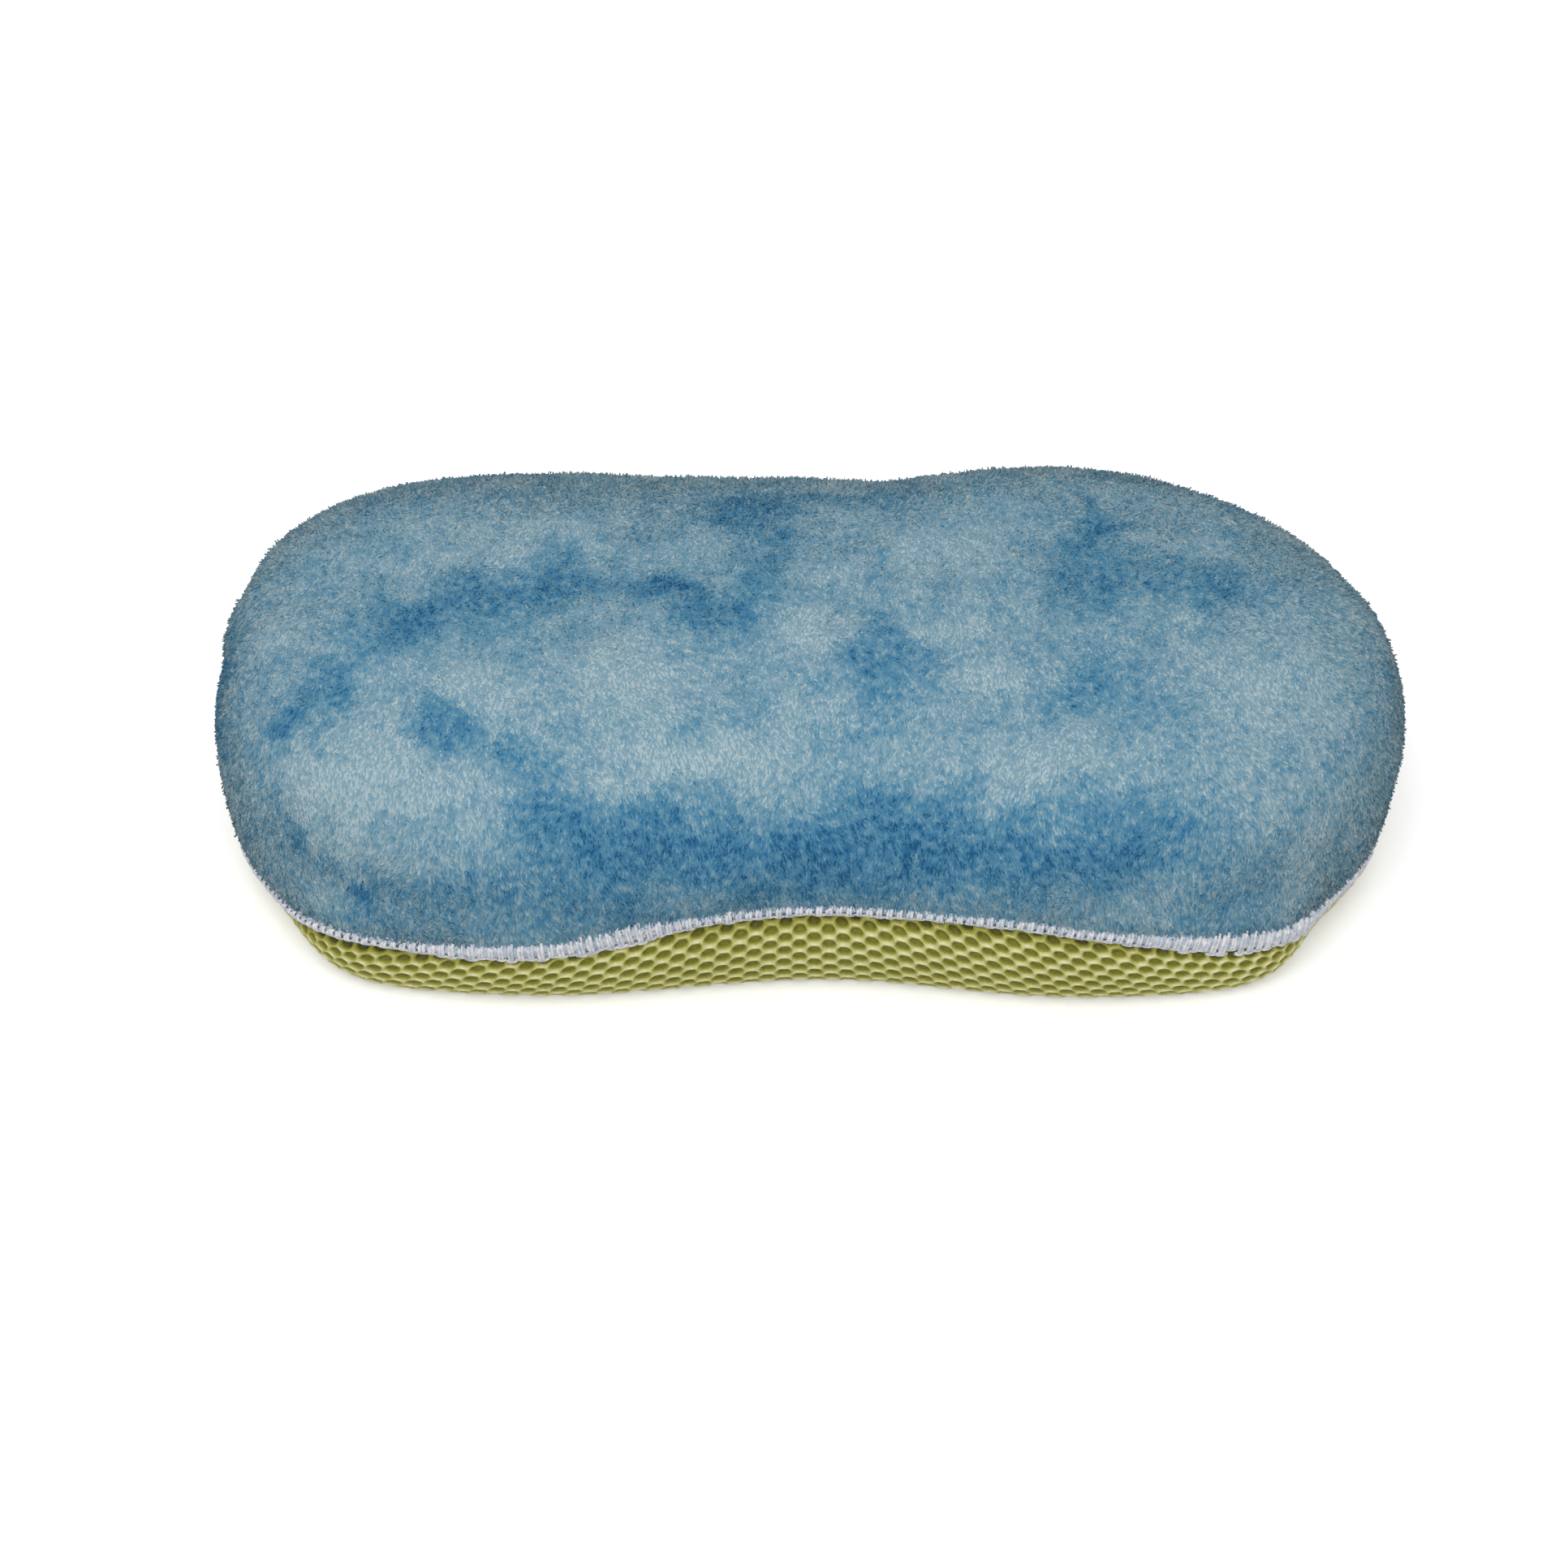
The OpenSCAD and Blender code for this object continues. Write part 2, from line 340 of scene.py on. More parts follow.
def swelling():
    """How far each point of the bag moves as it is stuffed, as two lists of points and moves."""
    sides = np.linspace(0, 1, bag_sides, endpoint=False)
    bag = place_in_scene("bag", skin("bag", [slack_point(sides, c, 0) for c in steps_up(0, 3, bag_step)]))
    grain = bag.modifiers.new("grain", "REMESH")
    grain.voxel_size = stuffing_voxel
    mesh = bpy.data.meshes.new_from_object(bag.evaluated_get(bpy.context.evaluated_depsgraph_get()))
    bag.modifiers.clear()
    bag.data = mesh
    rest = np.array([v.co for v in mesh.vertices])
    held = bag.vertex_groups.new(name="held")
    line = KDTree(seam_pins)
    shares = np.linspace(0, 1, seam_pins, endpoint=False)
    for i, point in enumerate(slack_point(shares, seam_climb(shares), 0)):
        line.insert(point, i)
    line.balance()
    for i, point in enumerate(rest):
        to_seam = line.find(point)[2]
        weight = 1 if point[2] < floor_hold else max(0, 1 - to_seam / seam_hold)
        held.add([i], weight, "REPLACE")
    cloth = bag.modifiers.new("stuffing", "CLOTH")
    cloth.settings.use_pressure = True
    cloth.settings.uniform_pressure_force = stuffing_pressure
    cloth.settings.effector_weights.gravity = 0
    cloth.settings.vertex_group_mass = "held"
    cloth.settings.tension_stiffness = cloth_stiffness
    cloth.settings.compression_stiffness = cloth_stiffness
    cloth.settings.bending_stiffness = bending_stiffness
    cloth.point_cache.frame_end = frames_of_swelling
    for step in range(1, frames_of_swelling + 1):
        bpy.context.scene.frame_set(step)
    full = bag.evaluated_get(bpy.context.evaluated_depsgraph_get())
    moved = np.array([v.co for v in full.data.vertices]) - rest
    size = np.linalg.norm(moved, axis=1, keepdims=True)
    moved = moved * np.minimum(1, swell_most / np.maximum(size, 1e-9))
    bpy.data.objects.remove(bag)
    bpy.context.scene.frame_set(1)
    return rest, moved


bag_points, bag_moves = swelling()
bag_tree = KDTree(len(bag_points))
for index, bag_point in enumerate(bag_points):
    bag_tree.insert(bag_point, index)
bag_tree.balance()


def stuffed(points):
    """Points of a cover, carried along by the cloth near them."""
    flat = points.reshape(-1, 3)
    out = np.empty_like(flat)
    for i, point in enumerate(flat):
        near = bag_tree.find_n(point, carry_points)
        weights = np.exp([-((n[2] / carry_reach) ** 2) for n in near])
        out[i] = point + weights @ bag_moves[[n[1] for n in near]] / max(weights.sum(), 1e-9)
    return out.reshape(points.shape)


def cover_point(share, climb, depth):
    """Points of a cover on the stuffed pad, at a depth below its outer face."""
    return stuffed(slack_point(share, climb, depth))


# Honeycomb net: the lower cover, a lime polyester spacer cloth that scours. Its face is knitted as
# six-sided meshes with their points along the pad, on a web of upright yarns over a plain back.
# It was cut flat, drawn up round the foot of the block and trimmed along the seam.
mesh_pitch = 3.65 * mm
mesh_depth = 1.1 * mm
strand_width = 1.15 * mm
strand_round = 0.3 * mm
hole_length = 0.6
hole_width = 0.48
hole_square = 0.25
floor_taper = 0.92
bar_from = 0.45
bar_over = 0.35
STRAND_LIGHT = (1, 0.62, 0)
column_share = 0.8660254
spare_length = 1.3
spare_width = 1.5
net_edge = 0.3 * mm
net_proud = 0.2 * mm
net_stretch = 0.35 * mm
pull_size = 22 * mm
weld_gap = 0.05 * mm
seam_shade_from = 1.6 * mm
seam_shade_over = 3.2 * mm


def flat_net(share, climb):
    """Place on the flat net cloth, measured from the middle of the underside."""
    u, v = outline_at(share)
    inset = np.where(climb < 1, section(climb, 0)[0], foot_inset - (run_to(climb) - run_to(1)))
    return np.stack([u * (half_length - inset), v * (side_width - inset)], -1)


def tucked(share, climb):
    """How much painted shade darkens the net just under the seam, from 0 to 1."""
    below = run_to(seam_climb(share)) - run_to(climb)
    return np.clip(1 - (below - seam_shade_from) / seam_shade_over, 0, 1)


# The net is proud of the pad's plain form, but for its underside, which lies just inside the floor.
net_sides = np.linspace(0, 1, 240, endpoint=False)
net_top = seam_climb(net_sides, net_edge)
net_levels = np.concatenate([steps_up(0, 1, 4 * mm), 1 + np.linspace(0, 1, 15)[1:]])
net_rings = [np.where(level > 1, 1 + (level - 1) * (net_top - 1), level) for level in net_levels]
net_shape = [cover_point(net_sides, ring, dip(net_sides, ring) - net_proud * np.clip(4 * ring - 4, -0.1, 1))
             for ring in net_rings]
net_seam_shade = np.concatenate([tucked(net_sides, ring) for ring in net_rings])
net_base = place_in_scene("net_base", skin("net_base", net_shape, merge=-1, marks={"tucked": net_seam_shade}))
flat_map = net_base.data.uv_layers.new(name="flat")
flat_points = np.concatenate([flat_net(net_sides, ring) for ring in net_rings])
corner_points = [loop.vertex_index for loop in net_base.data.loops]
flat_map.data.foreach_set("uv", (flat_points[corner_points] + 0.5).ravel())


def mesh_cell():
    """One mesh of the net: half of each strand round it, its wall and its floor, a pitch across."""
    corners = [(np.cos(a), np.sin(a)) for a in np.radians(np.arange(0, 360, 60))]
    outer = []
    for a, b in zip(corners, corners[1:] + corners[:1]):
        outer += [a, tuple((np.array(a) + b) / 2)]
    outer = np.array(outer) * mesh_pitch / np.sqrt(3)
    hole = mesh_pitch - strand_width
    ring = np.radians(np.arange(0, 360, 30))
    rounded = np.stack([np.cos(ring) * hole * hole_length, np.sin(ring) * hole * hole_width], -1)
    mouth = hole_square * outer * hole / mesh_pitch + (1 - hole_square) * rounded
    levels = ((outer, 0), (mouth, -strand_round), (mouth * floor_taper, -mesh_depth))
    points = np.concatenate([np.column_stack([p, np.full(12, z)]) for p, z in levels])
    faces = []
    for k in range(2):
        for i in range(12):
            j = (i + 1) % 12
            faces.append([12 * k + i, 12 * k + j, 12 * (k + 1) + j, 12 * (k + 1) + i])
    faces.append(list(range(24, 36)))
    mesh = bpy.data.meshes.new("mesh_cell")
    mesh.from_pydata(points.tolist(), [], faces)
    off_middle = np.abs(points[:, 1]) / (0.5 * mesh_pitch)
    mark(mesh, "bar", np.clip((off_middle - bar_from) / bar_over, 0, 1))
    mark(mesh, "strand", np.repeat(STRAND_LIGHT, 12))
    return mesh


def new_tree(name, inputs):
    """An empty geometry tree with named inputs, each with its socket's kind."""
    tree = bpy.data.node_groups.new(name, "GeometryNodeTree")
    tree.interface.new_socket("Geometry", in_out="INPUT", socket_type="NodeSocketGeometry")
    tree.interface.new_socket("Geometry", in_out="OUTPUT", socket_type="NodeSocketGeometry")
    for title, kind in inputs.items():
        tree.interface.new_socket(title, in_out="INPUT", socket_type="NodeSocket" + kind)
    return tree, add(tree, "NodeGroupInput").outputs


def end_tree(tree, given, geometry):
    """The end of a geometry tree: smooth shading, the piece's material and the way out."""
    smooth = add(tree, "GeometryNodeSetShadeSmooth", {"Geometry": geometry, "Shade Smooth": True})
    finished = add(tree, "GeometryNodeSetMaterial", {"Geometry": smooth, "Material": given["Finish"]})
    add(tree, "NodeGroupOutput", {"Geometry": finished})


def grown(name, base, tree, values):
    """A piece made of the plain mesh that a geometry tree grows on a base."""
    modifier = base.modifiers.new(name, "NODES")
    modifier.node_group = tree
    for item in tree.interface.items_tree:
        if item.item_type == "SOCKET" and item.in_out == "INPUT" and item.name in values:
            modifier[item.identifier] = values[item.name]
    mesh = bpy.data.meshes.new_from_object(base.evaluated_get(bpy.context.evaluated_depsgraph_get()))
    base.modifiers.remove(modifier)
    mesh.name = name
    return place_in_scene(name, mesh)


# The net's tree lays meshes in columns, every other one half a pitch up, as on a flat cloth.
net_tree, given = new_tree("honeycomb", {
    "Pitch": "Float", "Columns": "Int", "Rows": "Int", "Stretch": "Float", "Mesh": "Object",
    "Finish": "Material"})
column_pitch = add(net_tree, "ShaderNodeMath", (given["Pitch"], column_share), operation="MULTIPLY")
row_total = add(net_tree, "ShaderNodeMath", (given["Rows"], given["Pitch"]), operation="MULTIPLY")
column_total = add(net_tree, "ShaderNodeMath", (given["Columns"], column_pitch), operation="MULTIPLY")
grid = add(net_tree, "GeometryNodeMeshGrid", {
    "Size X": add(net_tree, "ShaderNodeMath", (column_total, column_pitch), operation="SUBTRACT"),
    "Size Y": add(net_tree, "ShaderNodeMath", (row_total, given["Pitch"]), operation="SUBTRACT"),
    "Vertices X": given["Columns"], "Vertices Y": given["Rows"]})
number = add(net_tree, "GeometryNodeInputIndex")
columns_before = add(net_tree, "ShaderNodeMath", (number, given["Rows"]), operation="DIVIDE")
column = add(net_tree, "ShaderNodeMath", (columns_before,), operation="FLOOR")
odd = add(net_tree, "ShaderNodeMath", (column, 2), operation="MODULO")
half_pitch = add(net_tree, "ShaderNodeMath", (given["Pitch"], 0.5), operation="MULTIPLY")
up = add(net_tree, "ShaderNodeMath", (odd, half_pitch), operation="MULTIPLY")
staggered = add(net_tree, "GeometryNodeSetPosition", {
    "Geometry": grid, "Offset": add(net_tree, "ShaderNodeCombineXYZ", {"Y": up})})
one_mesh = add(net_tree, "GeometryNodeObjectInfo", {"Object": given["Mesh"]}).outputs["Geometry"]
laid = add(net_tree, "GeometryNodeInstanceOnPoints", {"Points": staggered, "Instance": one_mesh})
flat_cloth = add(net_tree, "GeometryNodeRealizeInstances", {"Geometry": laid})

# Then it finds each point's place on the pad, with a little uneven pull in the knit. The flat cloth
# is laid out as seen from above, and under the pad it looks down, so its faces are turned over.
spot = add(net_tree, "GeometryNodeInputPosition")
pull = add(net_tree, "ShaderNodeTexNoise", {"Vector": spot, "Scale": 1 / pull_size, "Detail": 1})
pull_way = add(net_tree, "ShaderNodeVectorMath", (
    pull.outputs["Color"], (0.5, 0.5, 0.5)), operation="SUBTRACT")
pull_length = add(net_tree, "ShaderNodeMath", (given["Stretch"], 4), operation="MULTIPLY")
pulled = add(net_tree, "ShaderNodeVectorMath", {0: pull_way, "Scale": pull_length}, operation="SCALE")
knitted = add(net_tree, "ShaderNodeVectorMath", (spot, pulled), operation="ADD")
on_cloth = add(net_tree, "ShaderNodeVectorMath", (knitted, (0.5, 0.5, 0)), operation="ADD")
flat_place = add(net_tree, "GeometryNodeInputNamedAttribute", {"Name": "flat"}, data_type="FLOAT_VECTOR")
at, facing, painted_seam_shade = [add(net_tree, "GeometryNodeSampleUVSurface", {
    "Mesh": given["Geometry"], "Value": value, "UV Map": flat_place, "Sample UV": on_cloth}, data_type=kind)
    for value, kind in (
        (add(net_tree, "GeometryNodeInputPosition"), "FLOAT_VECTOR"),
        (add(net_tree, "GeometryNodeInputNormal"), "FLOAT_VECTOR"),
        (add(net_tree, "GeometryNodeInputNamedAttribute", {"Name": "tucked"}, data_type="FLOAT"), "FLOAT"))]
height = add(net_tree, "ShaderNodeSeparateXYZ", (spot,)).outputs["Z"]
raised = add(net_tree, "ShaderNodeVectorMath", {0: facing, "Scale": height}, operation="SCALE")
wrapped = add(net_tree, "ShaderNodeVectorMath", (at, raised), operation="ADD")
# It also carries the painted shade under the seam from the pad onto the net's points.
seam_shade_kept = add(net_tree, "GeometryNodeStoreNamedAttribute", {
    "Geometry": flat_cloth, "Name": "tucked", "Value": painted_seam_shade}, data_type="FLOAT", domain="POINT")
off_pad = add(net_tree, "FunctionNodeBooleanMath", (at.outputs["Is Valid"],), operation="NOT")
trimmed = add(net_tree, "GeometryNodeDeleteGeometry", {
    "Geometry": seam_shade_kept, "Selection": off_pad}, domain="POINT")
on_foot = add(net_tree, "GeometryNodeSetPosition", {"Geometry": trimmed, "Position": wrapped})
welded = add(net_tree, "GeometryNodeMergeByDistance", {"Geometry": on_foot, "Distance": weld_gap})
flipped = add(net_tree, "GeometryNodeFlipFaces", {"Mesh": welded})
end_tree(net_tree, given, flipped)

# Lime polyester, warp-knitted of bright yarn: a painted highlight in cream on top of the strands that run
# along the pad, lime on the slanting ones, olive down in the meshes, and painted shade darkening the net just
# under the seam.
yarn_size = 0.8 * mm
yarn_rise = 0.3 * mm
dye_size = 30 * mm
lime, tree, shader = new_material("lime_polyester_net")
strand = add(tree, "ShaderNodeAttribute", attribute_name="strand").outputs["Fac"]
bar = add(tree, "ShaderNodeAttribute", attribute_name="bar").outputs["Fac"]
under = add(tree, "ShaderNodeAttribute", attribute_name="tucked").outputs["Fac"]
spot = add(tree, "ShaderNodeTexCoord").outputs["Object"]
yarn = add(tree, "ShaderNodeTexNoise", {"Vector": spot, "Scale": 1 / yarn_size, "Detail": 2})
dye = add(tree, "ShaderNodeTexNoise", {"Vector": spot, "Scale": 1 / dye_size, "Detail": 1})
lit = strand
for pattern, strength in ((yarn, 0.5), (dye, 0.2)):
    centred = add(tree, "ShaderNodeMath", (pattern, 0.5), operation="SUBTRACT")
    lit = add(tree, "ShaderNodeMath", (centred, strength, lit), operation="MULTIPLY_ADD")
# Painted shade: the net is drawn darker just under the seam.
painted_seam_shade = add(tree, "ShaderNodeMath", (under, -0.5, 0.3), operation="MULTIPLY_ADD")
lit = add(tree, "ShaderNodeMath", (lit, 0.7, painted_seam_shade), operation="MULTIPLY_ADD")
slanting = add(tree, "ShaderNodeValToRGB", (lit,), stops=(
    (0, "#4f4f18"), (0.3, "#82822a"), (0.61, "#959435"), (0.86, "#a3a549"), (1, "#adaf58")))
# Painted highlight: the strands that run along the pad turn cream at their tops.
along = add(tree, "ShaderNodeValToRGB", (lit,), stops=(
    (0, "#4f4f18"), (0.3, "#82822a"), (0.61, "#a8a349"), (0.79, "#dad49b"), (1, "#f3edc2")))
blend = add(tree, "ShaderNodeMix", {"Factor": bar, "A": slanting, "B": along}, data_type="RGBA")
fuzz = add(tree, "ShaderNodeBump", {"Height": yarn, "Strength": 0.5, "Distance": yarn_rise})
tree.links.new(blend.outputs["Result"], shader.inputs["Base Color"])
tree.links.new(fuzz.outputs["Normal"], shader.inputs["Normal"])
shader.inputs["Roughness"].default_value = 0.6
shader.inputs["Specular IOR Level"].default_value = 0.35

cell_pattern = place_in_scene("cell_pattern", mesh_cell())
net_face = grown("net_face", net_base, net_tree, {
    "Pitch": mesh_pitch, "Columns": 2 * round(half_length * spare_length / mesh_pitch / column_share) + 1,
    "Rows": 2 * round(side_width * spare_width / mesh_pitch), "Stretch": net_stretch,
    "Mesh": cell_pattern, "Finish": lime})
bpy.data.objects.remove(cell_pattern)
bpy.data.objects.remove(net_base)
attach(net_face, "root")
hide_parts("net_cover")

# The plain back of the spacer cloth, which lies on the foam and turns out to the cut edge.
back_gap = 0.1 * mm
back_rings = [cover_point(net_sides, ring, dip(net_sides, ring) + mesh_depth + back_gap)
              for ring in net_rings]
inner_rings = [cover_point(net_sides, ring, net_thickness) for ring in net_rings[::-1]]
net_back = place_in_scene("net_back", skin("net_back", back_rings + inner_rings))
net_back.data.materials.append(lime)
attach(net_back, "root")
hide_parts("net_cover")

# Plush cover: the upper cover, blue coral fleece of split polyester and polyamide fibre. It is a
# knitted ground with a raised pile, cut as one piece, drawn over the crown and down to the seam.
pile_root = 0.9 * mm
cover_edge = -0.5 * mm
root_dip = 0.5

# Nap marks, where a hand has brushed the pile: the tufts stand up more in them, and their darker colour is
# painted shade, or painted light where the amount is below 0; some along the low front and the left end paint
# shade where the light falls off.
# Each gives its place on the flat cloth, half length and half width in millimetres, turn in degrees, and how
# much darker the mark is.
NAP_AND_SHADE = ((-11, 26, 10, 9, 0, 0.45), (8, 30, 12, 4, 0, 0.3), (-9, 8, 5, 12, 0, 0.3), (-49, 1, 8, 9, 0, 0.45),
       (-66, -5, 12, 10, 8, 0.38), (-83, -12, 10, 7, 8, 0.45), (-29, 0, 8, 6, 0, 0.6),
       (-15, -8, 11, 9, 0, 0.35), (-94, -22, 6, 5, 20, 0.5), (-106, -30, 8, 6, 25, 0.55),
       (-71, -37, 9, 4, -30, 0.5), (-101, -70, 4, 3, 30, 0.6), (-54, -43, 5, 5, 0, 0.35),
       (60, 20, 5, 11, -20, 0.5), (54, 2, 6, 10, -15, 0.38), (69, 8, 9, 7, 0, 0.25), (80, 3, 10, 9, 0, 0.3),
       (16, -25, 11, 9, 0, 0.35), (16, -12, 6, 6, 0, 0.25), (57, -28, 12, 7, 0, 0.3),
       (-113, -56, 4, 6, 0, 0.4), (-38, -59, 18, 11, 0, 0.53), (-8, -60, 18, 10, 0, 0.48),
       (18, -59, 16, 11, 0, 0.5), (42, -62, 16, 11, 0, 0.45), (69, -61, 15, 11, 0, 0.42),
       (-60, -73, 20, 8, 5, 0.25), (-92, -74, 16, 7, 0, 0.15), (102, -68, 16, 12, 0, 0.15),
       (-57, 18, 18, 8, 0, -0.15), (-36, -26, 11, 10, 0, -0.3), (-66, -27, 12, 5, 0, -0.35),
       (-86, -46, 20, 11, 0, -0.3), (-22, -43, 22, 5, 0, -0.3), (0, -14, 6, 8, 0, -0.3),
       (2, -34, 5, 5, 0, -0.2), (27, -13, 7, 3, 0, -0.3), (39, -24, 7, 4, 0, -0.3),
       (28, 12, 14, 9, 0, -0.12), (93, -25, 16, 18, 0, -0.16), (0, -75, 80, 7, 0, 0.12),
       (-127, -10, 6, 22, 0, 0.38), (45, -43, 22, 5, 0, -0.2), (114, -54, 8, 10, 0, -0.15),
       (-106, -5, 8, 8, 0, -0.15))
plain_nap = 0.42
mark_edge = 1.7

# A mark's edge wanders by so many millimetres over a size, each from its own layer of noise, and
# smaller patches lie between the marks: their size in millimetres and how much darker they are.
WANDER = ((6, 11, 3.7), (3.5, 4.5, 8.2))
PATCHES = ((14, 0.13), (6, 0.17), (3, 0.11))
other_layer = 41.3


def flat_plush(share, climb):
    """Place on the flat plush, measured from the middle of the crown."""
    u, v = outline_at(share)
    inset = side_width - (climb_run[-1] - run_to(climb))
    return np.stack([u * (half_length - inset), v * (side_width - inset)], -1)


def sway(x, y, size, layer):
    """Two smooth random numbers at a place, which change over a size in millimetres."""
    return np.array([noise.noise(Vector((x / size, y / size, layer + apart))) for apart in (0, other_layer)])


def darkness(places):
    """How dark the plush is drawn at places on the flat cloth, from 0 to 1: brushed nap and painted shade."""
    out, wander = np.empty(len(places)), np.empty((len(places), 2))
    for i, (x, y) in enumerate(places / mm):
        wander[i] = sum(reach * sway(x, y, size, layer) for reach, size, layer in WANDER)
        out[i] = plain_nap + sum(
            amount * noise.noise(Vector((x / size, y / size, size))) for size, amount in PATCHES)
    x, y = (places / mm + wander).T
    for middle_x, middle_y, length, width, angle, amount in NAP_AND_SHADE:
        dx, dy, a = x - middle_x, y - middle_y, np.radians(angle)
        along = (dx * np.cos(a) + dy * np.sin(a)) / length
        across = (dy * np.cos(a) - dx * np.sin(a)) / width
        out += amount * np.exp(-((along**2 + across**2) ** mark_edge))
    return np.clip(out, 0, 1)


plush_sides = np.linspace(0, 1, 340, endpoint=False)
plush_levels = np.linspace(0, 1, 53)
low_run = run_to(seam_climb(plush_sides, cover_edge))
plush_rings = [np.interp(low_run + level * (climb_run[-1] - low_run), climb_run, climbs)
               for level in plush_levels]
outer_rings = [cover_point(plush_sides, ring, pile_root + root_dip * dip(plush_sides, ring))
               for ring in plush_rings]
lining_rings = [cover_point(plush_sides, ring, pile_thickness) for ring in plush_rings[::-4]]
nap_and_shade_marks = darkness(np.concatenate([flat_plush(plush_sides, ring) for ring in plush_rings]))
lining_count = len(lining_rings) * len(plush_sides)
ground = place_in_scene("plush_ground", skin("plush_ground", lining_rings + outer_rings, marks={
    "nap": np.concatenate([np.full(lining_count, plain_nap), nap_and_shade_marks]),
    "brushed": np.repeat([0, 1], [lining_count, len(nap_and_shade_marks)])}))

# Each tuft is a slim wedge of fibres with four faces. The nap lays it over, clumps draw neighbours
# together, and in a dark mark it stands up more, so that the deep colour at its root shows.
TUFTS_PER_AREA = 3.8e6
tuft_length = 1.6 * mm
tuft_width = 0.5 * mm
clump_size = 1.0 * mm
clump_strength = 1.6
swirl_size = 16 * mm
swirl_strength = 1.5
nap_way = (0.1, -0.75, -0.25)
stray_strength = 0.3
plain_upright = 0.3
mark_upright = 0.35
full_turn = 6.283
tuft_mesh = bpy.data.meshes.new("tuft")
tuft_mesh.from_pydata([(0.5, 0, 0), (-0.5, 0, 0), (0, 0.35, 1), (0, -0.35, 1)], [],
                      [(0, 3, 1), (1, 2, 0), (0, 2, 3), (1, 3, 2)])
mark(tuft_mesh, "tip", (0, 0, 1, 1))
tuft = place_in_scene("tuft", tuft_mesh)

# The pile's tree sows tufts on its quarter of the ground's outer face.
pile_tree, given = new_tree("pile", {
    "Tufts per area": "Float", "Length": "Float", "Width": "Float", "Clump": "Float", "Quarter": "Vector",
    "Seed": "Int", "Tuft": "Object", "Finish": "Material"})
spot = add(pile_tree, "GeometryNodeInputPosition")
sided = add(pile_tree, "ShaderNodeVectorMath", (spot, given["Quarter"]), operation="MULTIPLY")
side = add(pile_tree, "ShaderNodeSeparateXYZ", (sided,)).outputs
least = add(pile_tree, "ShaderNodeMath", (side["X"], side["Y"]), operation="MINIMUM")
mine = add(pile_tree, "FunctionNodeCompare", (least, 0), operation="GREATER_EQUAL")
brushed = add(pile_tree, "GeometryNodeInputNamedAttribute", {"Name": "brushed"}, data_type="FLOAT")
density = add(pile_tree, "ShaderNodeMath", (given["Tufts per area"], brushed), operation="MULTIPLY")
sown = add(pile_tree, "GeometryNodeDistributePointsOnFaces", {
    "Mesh": given["Geometry"], "Selection": mine, "Density": density, "Seed": given["Seed"]})
straight_out = sown.outputs["Normal"]

# Then it leans each one the way of the nap, with its swirls, clumps and strays, flat to the cloth.
swirl = add(pile_tree, "ShaderNodeTexNoise", {"Vector": spot, "Scale": 1 / swirl_size, "Detail": 1})
clump_scale = add(pile_tree, "ShaderNodeMath", (1, given["Clump"]), operation="DIVIDE")
clumps = add(pile_tree, "ShaderNodeTexNoise", {"Vector": spot, "Scale": clump_scale, "Detail": 1})
stray = add(pile_tree, "FunctionNodeRandomValue", {
    "Min": (-1, -1, -0.6), "Max": (1, 1, 0.6), "Seed": 3}, data_type="FLOAT_VECTOR")
lie = nap_way
for pattern, strength in ((swirl, swirl_strength), (clumps, clump_strength)):
    centred = add(pile_tree, "ShaderNodeVectorMath", (
        pattern.outputs["Color"], (0.5, 0.5, 0.5)), operation="SUBTRACT")
    drawn = add(pile_tree, "ShaderNodeVectorMath", {0: centred, "Scale": strength}, operation="SCALE")
    lie = add(pile_tree, "ShaderNodeVectorMath", (drawn, lie), operation="ADD")
strayed = add(pile_tree, "ShaderNodeVectorMath", {0: stray, "Scale": stray_strength}, operation="SCALE")
lie = add(pile_tree, "ShaderNodeVectorMath", (lie, strayed), operation="ADD")
outward_part = add(pile_tree, "ShaderNodeVectorMath", (lie, straight_out), operation="PROJECT")
lie = add(pile_tree, "ShaderNodeVectorMath", (lie, outward_part), operation="SUBTRACT")
dark = add(pile_tree, "GeometryNodeInputNamedAttribute", {"Name": "nap"}, data_type="FLOAT")
upright = add(pile_tree, "ShaderNodeMath", (dark, mark_upright, plain_upright), operation="MULTIPLY_ADD")
stood = add(pile_tree, "ShaderNodeVectorMath", {0: straight_out, "Scale": upright}, operation="SCALE")
way = add(pile_tree, "ShaderNodeVectorMath", (stood, lie), operation="ADD")
spin = add(pile_tree, "FunctionNodeRandomValue", {
    "Min": (0, 0, 0), "Max": (0, 0, full_turn), "Seed": 5}, data_type="FLOAT_VECTOR")
leant = add(pile_tree, "FunctionNodeAlignRotationToVector", {"Rotation": spin, "Vector": way}, axis="Z")

# Its length, girth and tone vary, and it keeps the way that the cloth under it faces.
lengths = add(pile_tree, "FunctionNodeRandomValue", {2: 0.75, 3: 1.1, "Seed": 7}, data_type="FLOAT")
girths = add(pile_tree, "FunctionNodeRandomValue", {2: 0.7, 3: 1.25, "Seed": 9}, data_type="FLOAT")
tones = add(pile_tree, "FunctionNodeRandomValue", {2: 0, 3: 1, "Seed": 11}, data_type="FLOAT")
length = add(pile_tree, "ShaderNodeMath", (lengths, given["Length"]), operation="MULTIPLY")
girth = add(pile_tree, "ShaderNodeMath", (girths, given["Width"]), operation="MULTIPLY")
size = add(pile_tree, "ShaderNodeCombineXYZ", (girth, girth, length))
one_tuft = add(pile_tree, "GeometryNodeObjectInfo", {"Object": given["Tuft"]}).outputs["Geometry"]
planted = add(pile_tree, "GeometryNodeInstanceOnPoints", {
    "Points": sown, "Instance": one_tuft, "Rotation": leant, "Scale": size})
toned = add(pile_tree, "GeometryNodeStoreNamedAttribute", {
    "Geometry": planted, "Name": "tone", "Value": tones}, data_type="FLOAT", domain="INSTANCE")
